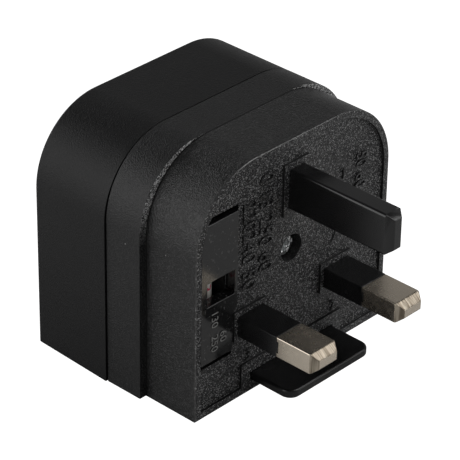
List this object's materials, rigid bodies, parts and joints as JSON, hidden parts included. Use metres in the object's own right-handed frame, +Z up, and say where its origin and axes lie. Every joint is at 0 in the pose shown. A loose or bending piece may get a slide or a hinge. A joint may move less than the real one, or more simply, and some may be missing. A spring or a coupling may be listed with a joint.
{
  "type": "plug adapter",
  "caption": "Arch-shaped fused conversion plug: three flat pins in front, a round recess for a two-pin plug behind, a pull-out fuse carrier, a push-in lock tab and a pin shutter.",
  "frame": {"origin": "on the resting base, under the middle of the whole length from earth pin tip to rear face", "axes": "+Z up towards the earth pin, -Y the way the flat pins point, +X to the right when facing the pins from the front with the earth pin up"},
  "size_m": [0.053, 0.0602, 0.0471],
  "materials": {
    "case_black": "fine matt grain",
    "inner_black": "plain moulded",
    "sleeve_black": "satin",
    "carrier_black": "polished mould",
    "nickel_brass": "bright nickel plate",
    "cap_metal": "nickel plate",
    "strip_brass": "rolled strip",
    "ceramic": "fired ceramic",
    "shutter_white": "plain moulded",
    "spring_steel": "drawn wire",
    "screw_steel": "zinc plate"
  },
  "bodies": {
    "case": {"front_shell": "case_black", "rear_shell": "case_black", "contact_cover": "inner_black", "live_pin": "nickel_brass", "neutral_pin": "nickel_brass", "live_sleeve": "sleeve_black", "neutral_sleeve": "sleeve_black", "earth_pin": "sleeve_black", "supply_fuse_clip": "strip_brass", "load_fuse_clip": "strip_brass", "live_busbar": "strip_brass", "neutral_busbar": "strip_brass", "live_contact": "strip_brass", "neutral_contact": "strip_brass", "busbar_rivets": "strip_brass", "shutter_spring": "spring_steel", "housing_screw": "screw_steel"},
    "fuse_carrier": {"fuse_carrier": "carrier_black", "fuse_body": "ceramic", "fuse_caps": "cap_metal"},
    "lock_slide": {"lock_slide": "carrier_black"},
    "shutter": {"shutter": "shutter_white"}
  },
  "joints": [
    {"name": "fuse_carrier_pull", "type": "slide", "parent": "case", "child": "fuse_carrier", "axis": [0, -1, 0], "range_m": [0, 0.011]},
    {"name": "lock_slide_push", "type": "slide", "parent": "case", "child": "lock_slide", "axis": [0, 1, 0], "range_m": [0, 0.0095]},
    {"name": "shutter_slide", "type": "slide", "parent": "case", "child": "shutter", "axis": [0, 0, -1], "range_m": [0, 0.006], "stiffness_N_per_m": 60, "springref_m": -0.003, "deforming": ["shutter_spring"]}
  ]
}
